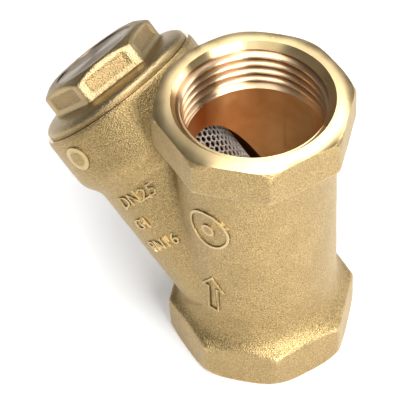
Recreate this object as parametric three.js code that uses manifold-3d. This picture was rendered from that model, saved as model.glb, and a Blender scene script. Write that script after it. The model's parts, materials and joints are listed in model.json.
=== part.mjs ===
// A DN25 Y-strainer in cast brass: a body with a pipe socket at each end and a branch at 45 degrees,
// a screwed hex cap on the branch, the cap's gasket, and the screen that the cap holds on its seat.
// Lengths are in millimetres. +Z runs from the inlet to the outlet, and the branch leans towards -X.
import * as THREE from "three";
import { mergeVertices } from "three/addons/utils/BufferGeometryUtils.js";
import Module from "manifold-3d";

const wasm = await Module();
wasm.setup();

// ---- Driving dimensions: the run, from the inlet face to the outlet face ----
const LENGTH = 73.5; // face to face
const PIPE_MAJOR_R = 16.6245; // G1 pipe thread
const PIPE_PITCH = 2.309;
const PIPE_THREAD_HEIGHT = 1.479;
const PIPE_FLANK_DEG = 27.5;
const INLET_THREAD_LENGTH = 11.5;
const OUTLET_THREAD_LENGTH = 13;
const COUNTERSINK_WIDTH = 1.65; // outside the thread's major radius, at the face
const COUNTERSINK_DEPTH = 1.6;
const BORE_RELIEF = 0.15; // the plain bore is this much under the thread's minor radius
const SOCKET_WALL = 3.8; // thread crest to the octagon's flats
const SOCKET_CORNER_CHAMFER = 1.3; // drop of the octagon's corners at a face
const INLET_SOCKET_HEIGHT = 10.7; // straight part of the octagon
const INLET_SHOULDER = 7;
const OUTLET_SOCKET_HEIGHT = 9.7;
const OUTLET_SHOULDER = 4.5;
const BARREL_WALL = 2.6;

// ---- Driving dimensions: the branch, along its own axis ----
const BRANCH_DEG = 45;
const BRANCH_HEIGHT = 17; // where its axis meets the run's axis, above the inlet face
const CAP_TO_SOCKET = 2.65; // from the cap's flange, across the run, to the outlet socket's corner
const WEB_COVER = 0.35; // web over the inlet thread's inner corner
const WEB_THICKNESS = 2.2;
const SEAT_DEPTH = 0.8; // recess in the web that the screen stands in
const SEAT_LEDGE = 1.4; // ledge under the screen's edge
const SCREEN_R = 14; // outside
const SCREEN_THICKNESS = 0.5;
const SCREEN_TO_BRANCH = 2; // open ring between screen and branch bore
const NECK_WALL = 1.7;
const COLLAR_LENGTH = 11.3;
const COLLAR_CONE = 6;
const COLLAR_WALL = 3.2; // cap thread crest to the collar's outside
const COLLAR_CHAMFER = 0.8;
const FOOT_IN_BODY = 5; // the branch's outside starts here, inside the run
const PAD_R = 3;
const PAD_BELOW_COLLAR_FACE = 5;
const MARK_RELIEF = 0.3; // height of the cast pad and arrow
const ARROW_HEIGHT = 26.5; // middle of the flow arrow above the inlet face
const ARROW_LENGTH = 10.5;
const ARROW_HEAD = 6;
const ARROW_SHAFT = 2.8;

// ---- Driving dimensions: cap and gasket ----
const CAP_PITCH = 1.5;
const CAP_FLANK_DEG = 30;
const METRIC_THREAD_HEIGHT = 5 / 8; // minor to major radius, as a share of the sharp V's height
const METRIC_PITCH_DEPTH = 3 / 8; // major to pitch radius, likewise
const CAP_THREAD_LENGTH = 8.5; // from the flange to the tip
const CAP_THREAD_UNDERCUT = 1.2;
const CAP_SOCKET_DEPTH = 4.75; // how far the screen goes into the cap
const CAP_MINOR_OVER_BORE = 0.19;
const FLANGE_INSET = 1.06; // inside the collar's outside
const FLANGE_RIM = 1.2;
const FLANGE_THICKNESS = 1.6;
const FLANGE_DOME = 1;
const HEX_FLATS = 25.8;
const HEX_HEIGHT = 7.7;
const HEX_CHAMFER = 0.8;
const CAP_ROOF = 6.4; // solid brass over the hollow
const CAP_HOLLOW_R = 10.5;
const DIAL_R = 9; // shallow round recess in the hex's face
const DIAL_DEPTH = 0.3;
const GASKET_THICKNESS = 0.9;
const GASKET_WIDTH = 1.6;
const GASKET_RECESS = 0.9;

// ---- Clearances and resolution ----
const THREAD_CLEARANCE = 0.2; // radial, between the cap's thread and the branch's
const SCREEN_CLEARANCE = 0.3; // radial, round each end of the screen
const GASKET_CLEARANCE = 0.15; // radial, inside and outside the gasket
const SEAT_GAP = 0.1; // between faces that rest on each other
const SEAM_GAP = 0.25; // between the collar's face and the flange
const OVERRUN = 1; // how far a cutter passes the face that it cuts
const ROUND_SEGMENTS = 48;
const PIPE_THREAD_SEGMENTS = 28;
const CAP_THREAD_SEGMENTS = 36;
const MERGE_TOLERANCE = 1e-5;

// ---- Sizes that follow ----
const degrees = THREE.MathUtils.degToRad;
const pipeMinorR = PIPE_MAJOR_R - PIPE_THREAD_HEIGHT;
const pipePitchR = PIPE_MAJOR_R - PIPE_THREAD_HEIGHT / 2;
const boreR = pipeMinorR - BORE_RELIEF;
const barrelR = boreR + BARREL_WALL;
const socketFlatR = PIPE_MAJOR_R + SOCKET_WALL;
const socketCornerR = socketFlatR / Math.cos(Math.PI / 8);

const branchBoreR = SCREEN_R + SCREEN_TO_BRANCH;
const neckR = branchBoreR + NECK_WALL;
const capSharpHeight = CAP_PITCH / 2 / Math.tan(degrees(CAP_FLANK_DEG));
const capMinorR = branchBoreR + CAP_MINOR_OVER_BORE;
const capMajorR = capMinorR + METRIC_THREAD_HEIGHT * capSharpHeight;
const capPitchR = capMajorR - METRIC_PITCH_DEPTH * capSharpHeight;
const collarR = capMajorR + COLLAR_WALL;
const flangeR = collarR - FLANGE_INSET;
const gasketInnerR = capMajorR + GASKET_CLEARANCE;
const gasketOuterR = gasketInnerR + GASKET_WIDTH;
const gasketRecessR = gasketOuterR + GASKET_CLEARANCE;

// Places along the branch's axis, from where it meets the run's axis.
const branchSine = Math.sin(degrees(BRANCH_DEG));
const branchCosine = Math.cos(degrees(BRANCH_DEG));
const inletThreadCorner = PIPE_MAJOR_R * branchSine + (INLET_THREAD_LENGTH - BRANCH_HEIGHT) * branchCosine;
const webUnder = inletThreadCorner + WEB_COVER;
const webTop = webUnder + WEB_THICKNESS;
const flangeUnder = (flangeR * branchCosine + socketCornerR + CAP_TO_SOCKET) / branchSine;
const collarFace = flangeUnder - SEAM_GAP;
const recessFloor = collarFace - GASKET_RECESS;
const neckEnd = collarFace - COLLAR_LENGTH - COLLAR_CONE;
const capTip = flangeUnder - CAP_THREAD_LENGTH;
const capShoulder = capTip + CAP_SOCKET_DEPTH;
const screenFoot = webTop - SEAT_DEPTH + SEAT_GAP;
const screenTop = capShoulder - SEAT_GAP;
const hexTop = flangeUnder + FLANGE_THICKNESS + HEX_HEIGHT;

// Turns the branch's own frame, whose +Z is its axis, into the body's frame.
const toBranch = new THREE.Matrix4()
  .makeTranslation(0, 0, BRANCH_HEIGHT)
  .multiply(new THREE.Matrix4().makeRotationY(-degrees(BRANCH_DEG)));

// ---- Shape helpers ----

// A closed solid from a geometry, with its shared vertices merged and its empty triangles left out.
function solid(geometry) {
  const bare = new THREE.BufferGeometry();
  bare.setAttribute("position", geometry.getAttribute("position"));
  bare.setIndex(geometry.index);
  const merged = mergeVertices(bare, MERGE_TOLERANCE);
  const corners = merged.index.array;
  const triangles = [];
  for (let first = 0; first < corners.length; first += 3) {
    const [a, b, c] = corners.slice(first, first + 3);
    if (a !== b && b !== c && c !== a) triangles.push(a, b, c);
  }
  const vertProperties = new Float32Array(merged.attributes.position.array);
  return new wasm.Manifold(new wasm.Mesh({ numProp: 3, vertProperties, triVerts: new Uint32Array(triangles) }));
}

function union(...solids) {
  return solids.reduce((whole, next) => whole.add(next));
}

// A solid of revolution about Z from [radius, height] points that run up the outside.
function revolve(profile, segments = ROUND_SEGMENTS) {
  const points = profile.map(([radius, height]) => new THREE.Vector2(radius, height));
  return new THREE.LatheGeometry(points, segments).rotateX(Math.PI / 2);
}

function cylinder(radius, low, high) {
  return revolve([[0, low], [radius, low], [radius, high], [0, high]]);
}

// A prism about Z with one corner on the X axis.
function prism(sides, flatR, low, high) {
  const cornerR = flatR / Math.cos(Math.PI / sides);
  const shape = new THREE.CylinderGeometry(cornerR, cornerR, high - low, sides);
  return shape.rotateX(Math.PI / 2).rotateZ(Math.PI / 2).translate(0, 0, (low + high) / 2);
}

// A right-hand screw as a closed rod about Z. Each turn has four profile points, root to root over the
// ridge, and column 0 also stands for the column after the last, one turn up.
function screw({ crestR, pitchR, rootR, pitch, flankDeg, low, high, segments }) {
  const slope = Math.tan(degrees(flankDeg));
  const crestHalf = pitch / 4 - (crestR - pitchR) * slope;
  const rootHalf = pitch / 4 + (pitchR - rootR) * slope;
  const ridge = [[rootR, -rootHalf], [crestR, -crestHalf], [crestR, crestHalf], [rootR, rootHalf]];
  const rows = ridge.length * Math.ceil((high - low) / pitch);
  const columnLength = rows + 1;
  const positions = [];
  const addPoint = (column, row) => {
    const [radius, offset] = ridge[row % ridge.length];
    const turn = column / segments;
    const angle = 2 * Math.PI * turn;
    const height = low + pitch * (Math.floor(row / ridge.length) + turn) + offset;
    positions.push(radius * Math.cos(angle), radius * Math.sin(angle), height);
  };
  for (let column = 0; column < segments; column += 1) {
    for (let row = 0; row <= rows; row += 1) addPoint(column, row);
  }
  const extraStart = segments * columnLength;
  for (let row = rows + 1; row <= rows + ridge.length; row += 1) addPoint(0, row);
  const lowCentre = positions.push(0, 0, low) / 3 - 1;
  const highCentre = positions.push(0, 0, high + pitch) / 3 - 1;

  const corner = (column, row) => {
    if (column === segments) return corner(0, row + ridge.length);
    return row <= rows ? column * columnLength + row : extraStart + row - rows - 1;
  };
  const faces = [];
  for (let column = 0; column < segments; column += 1) {
    for (let row = 0; row < rows; row += 1) {
      const [a, b] = [corner(column, row), corner(column + 1, row)];
      const [c, d] = [corner(column + 1, row + 1), corner(column, row + 1)];
      faces.push(a, b, c, a, c, d);
    }
    faces.push(lowCentre, corner(column + 1, 0), corner(column, 0));
    faces.push(highCentre, corner(column, rows), corner(column + 1, rows));
  }
  for (let row = 0; row < ridge.length; row += 1) {
    faces.push(lowCentre, corner(0, row), corner(0, row + 1));
    faces.push(highCentre, corner(0, rows + row + 1), corner(0, rows + row));
  }
  const geometry = new THREE.BufferGeometry();
  geometry.setAttribute("position", new THREE.Float32BufferAttribute(positions, 3));
  geometry.setIndex(faces);
  return geometry;
}

function partMesh(name, shape, material) {
  const { vertProperties, triVerts } = shape.getMesh();
  const geometry = new THREE.BufferGeometry();
  geometry.setAttribute("position", new THREE.Float32BufferAttribute(vertProperties, 3));
  geometry.setIndex(new THREE.Uint32BufferAttribute(triVerts, 1));
  geometry.computeVertexNormals();
  const mesh = new THREE.Mesh(geometry, material);
  mesh.name = name;
  return mesh;
}

// ---- The body ----

// One octagonal socket standing on the inlet plane, with its shoulder running in to the barrel.
function socketOutside(straight, shoulder) {
  const chamferR = socketCornerR - SOCKET_CORNER_CHAMFER;
  const outline = revolve([
    [0, 0],
    [chamferR, 0],
    [socketCornerR, SOCKET_CORNER_CHAMFER],
    [socketCornerR, straight],
    [barrelR, straight + shoulder],
    [0, straight + shoulder],
  ]);
  return solid(prism(8, socketFlatR, 0, straight + shoulder)).intersect(solid(outline));
}

// Carries a shape that stands on the inlet plane over to the outlet end, face to face.
function atOutlet(shape) {
  return shape.rotate([180, 0, 0]).translate([0, 0, LENGTH]);
}

// The thread and countersink that are cut into one end.
function pipeSocketCut(threadLength) {
  const thread = solid(
    screw({
      crestR: PIPE_MAJOR_R,
      pitchR: pipePitchR,
      rootR: pipeMinorR,
      pitch: PIPE_PITCH,
      flankDeg: PIPE_FLANK_DEG,
      low: -2 * PIPE_PITCH,
      high: threadLength - PIPE_PITCH,
      segments: PIPE_THREAD_SEGMENTS,
    }),
  );
  const slope = COUNTERSINK_WIDTH / COUNTERSINK_DEPTH;
  const mouthR = PIPE_MAJOR_R + COUNTERSINK_WIDTH;
  const countersink = revolve([
    [0, -OVERRUN],
    [mouthR + OVERRUN * slope, -OVERRUN],
    [PIPE_MAJOR_R - COUNTERSINK_WIDTH, 2 * COUNTERSINK_DEPTH],
    [0, 2 * COUNTERSINK_DEPTH],
  ]);
  return thread.add(solid(countersink));
}

// The flow arrow, a plate with a flat face on the barrel's -Y side, pointing at the outlet.
function flowArrow() {
  const arrow = new THREE.Shape();
  arrow.moveTo(0, ARROW_LENGTH / 2);
  arrow.lineTo(-ARROW_HEAD / 2, 0);
  arrow.lineTo(-ARROW_SHAFT / 2, 0);
  arrow.lineTo(-ARROW_SHAFT / 2, -ARROW_LENGTH / 2);
  arrow.lineTo(ARROW_SHAFT / 2, -ARROW_LENGTH / 2);
  arrow.lineTo(ARROW_SHAFT / 2, 0);
  arrow.lineTo(ARROW_HEAD / 2, 0);
  arrow.closePath();
  const rootInWall = (boreR + barrelR) / 2;
  const face = Math.max(barrelR, neckR) + MARK_RELIEF;
  const plate = new THREE.ExtrudeGeometry(arrow, { depth: face - rootInWall, bevelEnabled: false });
  return solid(plate.rotateX(Math.PI / 2).translate(0, -rootInWall, ARROW_HEIGHT));
}

function bodyOutside() {
  const inletSocket = socketOutside(INLET_SOCKET_HEIGHT, INLET_SHOULDER);
  const outletSocket = atOutlet(socketOutside(OUTLET_SOCKET_HEIGHT, OUTLET_SHOULDER));
  const barrel = solid(cylinder(barrelR, INLET_SOCKET_HEIGHT, LENGTH - OUTLET_SOCKET_HEIGHT));
  const branch = revolve([
    [0, FOOT_IN_BODY],
    [neckR, FOOT_IN_BODY],
    [neckR, neckEnd],
    [collarR, neckEnd + COLLAR_CONE],
    [collarR, collarFace - COLLAR_CHAMFER],
    [collarR - COLLAR_CHAMFER, collarFace],
    [0, collarFace],
  ]);
  const pad = cylinder(PAD_R, branchBoreR + COLLAR_WALL / 2, collarR + MARK_RELIEF)
    .rotateX(Math.PI / 2)
    .translate(0, 0, collarFace - PAD_BELOW_COLLAR_FACE);
  return union(
    inletSocket,
    outletSocket,
    barrel,
    solid(branch.applyMatrix4(toBranch)),
    solid(pad.applyMatrix4(toBranch)),
    flowArrow(),
  );
}

function bodyHollows() {
  const bore = solid(cylinder(boreR, -OVERRUN, LENGTH + OVERRUN));
  const webWidth = 4 * socketCornerR;
  const web = new THREE.BoxGeometry(webWidth, webWidth, WEB_THICKNESS)
    .translate(0, 0, (webUnder + webTop) / 2)
    .applyMatrix4(toBranch);
  const portR = SCREEN_R - SEAT_LEDGE;
  const chamber = revolve([
    [0, webUnder - OVERRUN],
    [portR, webUnder - OVERRUN],
    [portR, webTop - SEAT_DEPTH],
    [SCREEN_R + SCREEN_CLEARANCE, webTop - SEAT_DEPTH],
    [SCREEN_R + SCREEN_CLEARANCE, webTop],
    [branchBoreR, webTop],
    [branchBoreR, recessFloor],
    [gasketRecessR, recessFloor],
    [gasketRecessR, collarFace + OVERRUN],
    [0, collarFace + OVERRUN],
  ]);
  const capThread = screw({
    crestR: capMajorR,
    pitchR: capPitchR,
    rootR: capMinorR,
    pitch: CAP_PITCH,
    flankDeg: CAP_FLANK_DEG,
    low: capTip - CAP_PITCH,
    high: collarFace,
    segments: CAP_THREAD_SEGMENTS,
  });
  return union(
    bore.subtract(solid(web)),
    solid(chamber.applyMatrix4(toBranch)),
    solid(capThread.applyMatrix4(toBranch)),
    pipeSocketCut(INLET_THREAD_LENGTH),
    atOutlet(pipeSocketCut(OUTLET_THREAD_LENGTH)),
  );
}

// ---- The pieces on the branch, in the branch's own frame ----

function capShape() {
  const threadRootR = capMinorR - THREAD_CLEARANCE - SEAT_GAP;
  const threadCrestR = capMajorR - THREAD_CLEARANCE;
  const rod = screw({
    crestR: threadCrestR,
    pitchR: capPitchR - THREAD_CLEARANCE,
    rootR: threadRootR,
    pitch: CAP_PITCH,
    flankDeg: CAP_FLANK_DEG,
    low: capTip - CAP_PITCH,
    high: collarFace,
    segments: CAP_THREAD_SEGMENTS,
  });
  const undercut = flangeUnder - CAP_THREAD_UNDERCUT;
  const undercutR = threadRootR - SEAT_GAP;
  const threadOutline = revolve([
    [0, capTip],
    [undercutR, capTip],
    [threadCrestR + SEAT_GAP, capTip + CAP_PITCH / 2],
    [threadCrestR + SEAT_GAP, undercut - CAP_PITCH / 2],
    [undercutR, undercut],
    [undercutR, flangeUnder + OVERRUN],
    [0, flangeUnder + OVERRUN],
  ]);
  const hexCornerR = HEX_FLATS / 2 / Math.cos(Math.PI / 6);
  const flangeTop = flangeUnder + FLANGE_THICKNESS;
  const flange = revolve([
    [0, flangeUnder],
    [flangeR, flangeUnder],
    [flangeR, flangeUnder + FLANGE_RIM],
    [hexCornerR, flangeTop + FLANGE_DOME],
    [0, flangeTop + FLANGE_DOME],
  ]);
  const hexOutline = revolve([
    [0, flangeUnder],
    [hexCornerR, flangeUnder],
    [hexCornerR, hexTop - HEX_CHAMFER],
    [HEX_FLATS / 2 - HEX_CHAMFER / 2, hexTop],
    [0, hexTop],
  ]);
  const hexagon = prism(6, HEX_FLATS / 2, flangeUnder, hexTop);
  const hollow = revolve([
    [0, capTip - OVERRUN],
    [SCREEN_R + SCREEN_CLEARANCE, capTip - OVERRUN],
    [SCREEN_R + SCREEN_CLEARANCE, capShoulder],
    [CAP_HOLLOW_R, capShoulder],
    [CAP_HOLLOW_R, hexTop - CAP_ROOF],
    [0, hexTop - CAP_ROOF],
  ]);
  const dial = cylinder(DIAL_R, hexTop - DIAL_DEPTH, hexTop + OVERRUN);
  return solid(rod)
    .intersect(solid(threadOutline))
    .add(solid(flange))
    .add(solid(hexagon).intersect(solid(hexOutline)))
    .subtract(solid(hollow))
    .subtract(solid(dial));
}

// A flat or long ring about Z.
function ring(innerR, outerR, low, high) {
  return solid(revolve([[innerR, low], [outerR, low], [outerR, high], [innerR, high], [innerR, low]]));
}

function gasketShape() {
  const low = recessFloor + SEAT_GAP;
  return ring(gasketInnerR, gasketOuterR, low, low + GASKET_THICKNESS);
}

function screenShape() {
  return ring(SCREEN_R - SCREEN_THICKNESS, SCREEN_R, screenFoot, screenTop);
}

// ---- Materials and assembly ----

const castBrass = new THREE.MeshStandardMaterial({ color: 0xb8935a, roughness: 0.5, metalness: 1 });
const turnedBrass = new THREE.MeshStandardMaterial({ color: 0xc09a62, roughness: 0.4, metalness: 1 });
const stainless = new THREE.MeshStandardMaterial({ color: 0xb9bcc0, roughness: 0.3, metalness: 1 });
const fibre = new THREE.MeshStandardMaterial({ color: 0x3a3330, roughness: 0.9, metalness: 0 });

const branchPieces = new THREE.Group();
branchPieces.position.set(0, 0, BRANCH_HEIGHT);
branchPieces.rotation.y = -degrees(BRANCH_DEG);
branchPieces.add(partMesh("cap", capShape(), turnedBrass));
branchPieces.add(partMesh("cap_gasket", gasketShape(), fibre));
branchPieces.add(partMesh("screen", screenShape(), stainless));

const strainer = new THREE.Group();
strainer.add(partMesh("body", bodyOutside().subtract(bodyHollows()), castBrass));
strainer.add(branchPieces);

// The origin is the middle of the bounding box on the inlet plane.
const middle = new THREE.Box3().setFromObject(strainer, true).getCenter(new THREE.Vector3());
strainer.position.set(-middle.x, -middle.y, 0);

export default strainer;
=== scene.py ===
# %% [markdown]
# # A brass Y-strainer
# The real object is four pieces: a cast brass body with a threaded socket at each end, a hex cap on its
# branch, a flat gasket under the cap, and a perforated screen that the cap presses onto its seat. The
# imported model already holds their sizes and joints. This lesson gives each of them the surface that a
# camera sees: a blasted casting with soft blends, bright turned faces, real threads and a screen with
# real holes.

import json
from math import atan2, cos, degrees, pi, radians, sin, sqrt, tan

import bpy
from mathutils import Matrix, Vector


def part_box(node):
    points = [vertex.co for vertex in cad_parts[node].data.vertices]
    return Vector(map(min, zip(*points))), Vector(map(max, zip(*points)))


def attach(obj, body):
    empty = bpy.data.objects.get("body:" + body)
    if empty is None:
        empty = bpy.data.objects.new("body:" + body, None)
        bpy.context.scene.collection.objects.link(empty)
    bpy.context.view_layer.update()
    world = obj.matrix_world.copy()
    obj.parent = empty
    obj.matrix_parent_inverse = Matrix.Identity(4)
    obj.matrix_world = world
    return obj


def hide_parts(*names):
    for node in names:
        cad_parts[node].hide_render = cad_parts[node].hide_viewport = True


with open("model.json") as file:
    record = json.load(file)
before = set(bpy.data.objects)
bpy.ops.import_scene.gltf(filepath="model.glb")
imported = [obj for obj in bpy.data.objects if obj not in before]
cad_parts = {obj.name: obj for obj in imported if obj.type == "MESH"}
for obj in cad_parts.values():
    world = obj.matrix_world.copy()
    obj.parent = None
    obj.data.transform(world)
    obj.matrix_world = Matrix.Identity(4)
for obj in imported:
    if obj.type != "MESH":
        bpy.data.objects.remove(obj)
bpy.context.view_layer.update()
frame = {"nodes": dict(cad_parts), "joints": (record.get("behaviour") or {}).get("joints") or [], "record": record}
print("The frame's nodes:", sorted(frame["nodes"]))

# %% [markdown]
# ## Places
# Every place comes from the frame. The outlet's mount gives the run's axis and length, and the cap's
# joint gives the branch's axis. Shapes are drawn about the Z axis, in millimetres, and then carried to
# the run or to the branch by one of two matrices, so a profile reads like a lathe drawing.

# %% Find the run and the branch
MM = 0.001
ACROSS = 1.1  # how far a cutter passes what it cuts, in millimetres

mounts = {mount["name"]: mount for mount in frame["record"]["mounts"]}
joints = {joint["name"]: joint for joint in frame["joints"]}
outlet = Vector(mounts["outlet_face"]["pos_m"]) / MM
turn_axis = Vector(joints["cap_turn"]["axis"])
turn_origin = Vector(joints["cap_turn"]["pos_m"]) / MM

RUN_X = outlet.x
LENGTH = outlet.z
BRANCH_HEIGHT = turn_origin.z
BRANCH_ANGLE = atan2(-turn_axis.x, turn_axis.z)
on_run = Matrix.Translation((RUN_X * MM, 0, 0))
on_branch = Matrix.Translation((RUN_X * MM, 0, BRANCH_HEIGHT * MM)) @ Matrix.Rotation(-BRANCH_ANGLE, 4, "Y")
print(f"The run is {LENGTH:.1f} mm long; the branch leans {degrees(BRANCH_ANGLE):.0f} degrees")

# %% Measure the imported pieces
def reach(node, direction):
    """How far a CAD node reaches along a direction from where the two axes meet, in millimetres."""
    start = Vector((RUN_X, 0, BRANCH_HEIGHT))
    return max((vertex.co / MM - start).dot(direction) for vertex in frame["nodes"][node].data.vertices)


SOCKET_CORNER_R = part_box("body")[1].x / MM - RUN_X
HEX_TOP = reach("cap", turn_axis)
CAP_TIP = -reach("cap", -turn_axis)
FLANGE_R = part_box("cap")[1].y / MM
GASKET_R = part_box("cap_gasket")[1].y / MM
GASKET_LOW = -reach("cap_gasket", -turn_axis)
GASKET_HIGH = reach("cap_gasket", turn_axis)
SCREEN_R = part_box("screen")[1].y / MM
SCREEN_LOW = -reach("screen", -turn_axis)
SCREEN_HIGH = reach("screen", turn_axis)
print(f"Along the branch, the cap runs from {CAP_TIP:.1f} to {HEX_TOP:.1f} mm")
print(f"and the screen from {SCREEN_LOW:.1f} to {SCREEN_HIGH:.1f} mm")

# %% [markdown]
# ## Tools
# A turned shape on a lathe is an outline swept round an axis. The outline is drawn by hand in the same
# way in Blender: one point is extruded along the profile, and Spin turns it. A screw thread is the same
# outline swept while it climbs, which is what the Screw modifier does.

# %% Helpers for objects and modifiers
def deselect_all():
    """Loading the frame leaves its nodes selected, and an operator works on all that is selected."""
    bpy.ops.object.select_all(action="DESELECT")
    bpy.context.view_layer.objects.active = None


def activate(piece):
    deselect_all()
    piece.select_set(True)
    bpy.context.view_layer.objects.active = piece


def edit(piece):
    activate(piece)
    bpy.ops.object.mode_set(mode="EDIT")


def object_mode():
    bpy.ops.object.mode_set(mode="OBJECT")


def apply_modifier(piece, kind, **settings):
    activate(piece)
    modifier = piece.modifiers.new(kind.title(), kind)
    for name, value in settings.items():
        setattr(modifier, name, value)
    bpy.ops.object.modifier_apply(modifier=modifier.name)


def place(piece, matrix):
    """Carries the mesh itself, so the object stays at the origin, unturned."""
    activate(piece)
    piece.matrix_world = matrix
    bpy.ops.object.transform_apply(location=True, rotation=True, scale=True)
    return piece


# %% Draw and turn an outline
def start_line(name, x, z):
    """One vertex at (x, 0, z), in millimetres, left selected in edit mode."""
    deselect_all()
    bpy.ops.mesh.primitive_plane_add(size=MM)
    piece = bpy.context.object
    piece.name = name
    bpy.ops.object.mode_set(mode="EDIT")
    bpy.ops.mesh.select_all(action="SELECT")
    bpy.ops.mesh.merge(type="CENTER")
    bpy.ops.transform.translate(value=(x * MM, 0, z * MM))
    return piece


def outline(name, points):
    """An open line of edges through (x, z) points in millimetres, left in edit mode and all selected."""
    piece = start_line(name, *points[0])
    for (x, z), (next_x, next_z) in zip(points, points[1:]):
        step = ((next_x - x) * MM, 0, (next_z - z) * MM)
        bpy.ops.mesh.extrude_region_move(TRANSFORM_OT_translate={"value": step})
    bpy.ops.mesh.select_all(action="SELECT")
    return piece


def weld(threshold=0.0005):
    bpy.ops.mesh.select_all(action="SELECT")
    bpy.ops.mesh.remove_doubles(threshold=threshold * MM)
    bpy.ops.mesh.normals_make_consistent(inside=False)


def lathe(name, points, steps=128):
    """A turned solid about Z. Its outline starts and ends on the axis, or closes on itself."""
    piece = outline(name, points)
    bpy.ops.mesh.spin(steps=steps, angle=2 * pi, center=(0, 0, 0), axis=(0, 0, 1))
    weld()
    object_mode()
    return piece


# %% Cut a screw thread
def thread_radius(height, pitch, pitch_r, depth, flank):
    """The radius at a height above the middle of a ridge, with crests and roots rounded by a worn tool."""
    past_flank = (pitch / 4 - abs(height)) / tan(radians(flank)) / (depth / 2)
    rounded = past_flank / (1 + abs(past_flank) ** 4) ** 0.25
    return pitch_r + depth / 2 * rounded


def threaded_rod(name, low, high, pitch, pitch_r, depth, flank, samples, steps):
    """
    A closed right-hand screw about Z that reaches past low and high. Samples are the points along one ridge,
    and steps are those round one turn.
    """
    turns = int((high - low) / pitch) + 2
    points = []
    for i in range(turns * samples + 1):
        along = i / samples
        height = (along - round(along)) * pitch
        points.append((thread_radius(height, pitch, pitch_r, depth, flank), low + (along - 1) * pitch))
    piece = outline(name, points)
    object_mode()
    apply_modifier(piece, "SCREW", angle=2 * pi, screw_offset=pitch * MM, iterations=1, axis="Z",
                   steps=steps, render_steps=steps, use_normal_calculate=True)
    middle = (low + high) / 2 * MM
    for end in (-1, 1):
        edit(piece)
        bpy.ops.mesh.select_all(action="SELECT")
        bpy.ops.mesh.remove_doubles(threshold=0.0005 * MM)
        bpy.ops.mesh.select_mode(type="VERT")
        bpy.ops.mesh.select_all(action="DESELECT")
        bpy.ops.mesh.select_non_manifold(extend=False, use_wire=False, use_multi_face=False,
                                         use_non_contiguous=False, use_verts=False)
        object_mode()
        for vertex in piece.data.vertices:
            vertex.select = vertex.select and (vertex.co.z - middle) * end > 0
        for edge in piece.data.edges:
            edge.select = all(piece.data.vertices[v].select for v in edge.vertices) and edge.select
        bpy.ops.object.mode_set(mode="EDIT")
        bpy.ops.mesh.extrude_region()
        bpy.ops.mesh.merge(type="CENTER")
        object_mode()
    edit(piece)
    weld()
    object_mode()
    return piece


# %% Join and cut
def combine(piece, other, operation):
    """Adds, cuts or intersects, with the cutter's finish left on the walls that it makes."""
    apply_modifier(piece, "BOOLEAN", object=other, operation=operation, solver="MANIFOLD",
                   material_mode="TRANSFER")
    bpy.data.objects.remove(other, do_unlink=True)
    return piece


def cut(piece, cutter):
    return combine(piece, cutter, "DIFFERENCE")


def add(piece, other):
    return combine(piece, other, "UNION")


def check_closed(piece):
    """Prints how many edges of a finished mesh don't join exactly two faces."""
    uses = {}
    for polygon in piece.data.polygons:
        for key in polygon.edge_keys:
            uses[key] = uses.get(key, 0) + 1
    open_edges = sum(1 for count in uses.values() if count != 2)
    triangles = sum(len(polygon.vertices) - 2 for polygon in piece.data.polygons)
    print(f"{piece.name}: {triangles} triangles, {open_edges} open edges")


# %% [markdown]
# ## Finishes
# Brass shows how it was made. The casting was blasted with fine shot, so it is covered in tiny dimples
# that sparkle, with a smoother, brighter skin on the edges where parts rub in the drum. Turned faces
# carry fine rings round their axis. Every pattern is worked out from the object's own coordinates, in
# metres, so it stays on the metal.

# %% Helpers for shader nodes
class Finish:
    """A node material with one Principled shader, and short ways to add nodes to it."""

    def __init__(self, name, colour, roughness, metallic=1.0):
        self.material = bpy.data.materials.new(name)
        self.material.use_nodes = True
        self.tree = self.material.node_tree
        self.shader = self.tree.nodes["Principled BSDF"]
        self.shader.inputs["Base Color"].default_value = (*colour, 1)
        self.shader.inputs["Roughness"].default_value = roughness
        self.shader.inputs["Metallic"].default_value = metallic
        self.place = self.node("ShaderNodeTexCoord").outputs["Object"]

    def node(self, kind, settings=None, **inputs):
        """Adds a node. An input's name has underscores for spaces, and takes a value or a node's socket."""
        made = self.tree.nodes.new(kind)
        for name, value in (settings or {}).items():
            setattr(made, name, value)
        for name, value in inputs.items():
            self.link(made, name.replace("_", " "), value)
        return made

    def link(self, node, name, value):
        socket = node.inputs[int(name)] if name.isdigit() else node.inputs[name]
        if isinstance(value, bpy.types.NodeSocket):
            self.tree.links.new(value, socket)
        else:
            socket.default_value = value

    def math(self, operation, first, second=0.0):
        made = self.node("ShaderNodeMath", {"operation": operation})
        self.link(made, "0", first)
        self.link(made, "1", second)
        return made.outputs[0]

    def noise(self, scale, detail=2.0, roughness=0.5, vector=None):
        made = self.node("ShaderNodeTexNoise", Vector=vector or self.place, Scale=scale, Detail=detail)
        made.inputs["Roughness"].default_value = roughness
        return made.outputs["Fac"]

    def between(self, value, low, high, to_low=0.0, to_high=1.0):
        """Spreads a value that runs from low to high over another span."""
        made = self.node("ShaderNodeMapRange", {"interpolation_type": "SMOOTHSTEP"}, Value=value)
        ends = {"From Min": low, "From Max": high, "To Min": to_low, "To Max": to_high}
        for name, number in ends.items():
            made.inputs[name].default_value = number
        return made.outputs["Result"]

    def mix(self, factor, first, second):
        """Mixes two colours by a factor."""
        made = self.node("ShaderNodeMix", {"data_type": "RGBA"})
        self.link(made, "0", factor)
        for name, colour in (("6", first), ("7", second)):
            self.link(made, name, colour if isinstance(colour, bpy.types.NodeSocket) else (*colour, 1))
        return made.outputs[2]

    def bump(self, height, distance, strength=1.0, below=None):
        made = self.node("ShaderNodeBump", Height=height, Distance=distance * MM, Strength=strength)
        if below is not None:
            self.link(made, "Normal", below)
        return made.outputs["Normal"]

    def paint(self, **sockets):
        """Links sockets of the Principled shader, with underscores for spaces in their names."""
        for name, value in sockets.items():
            self.link(self.shader, name.replace("_", " "), value)
        return self.material


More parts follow.
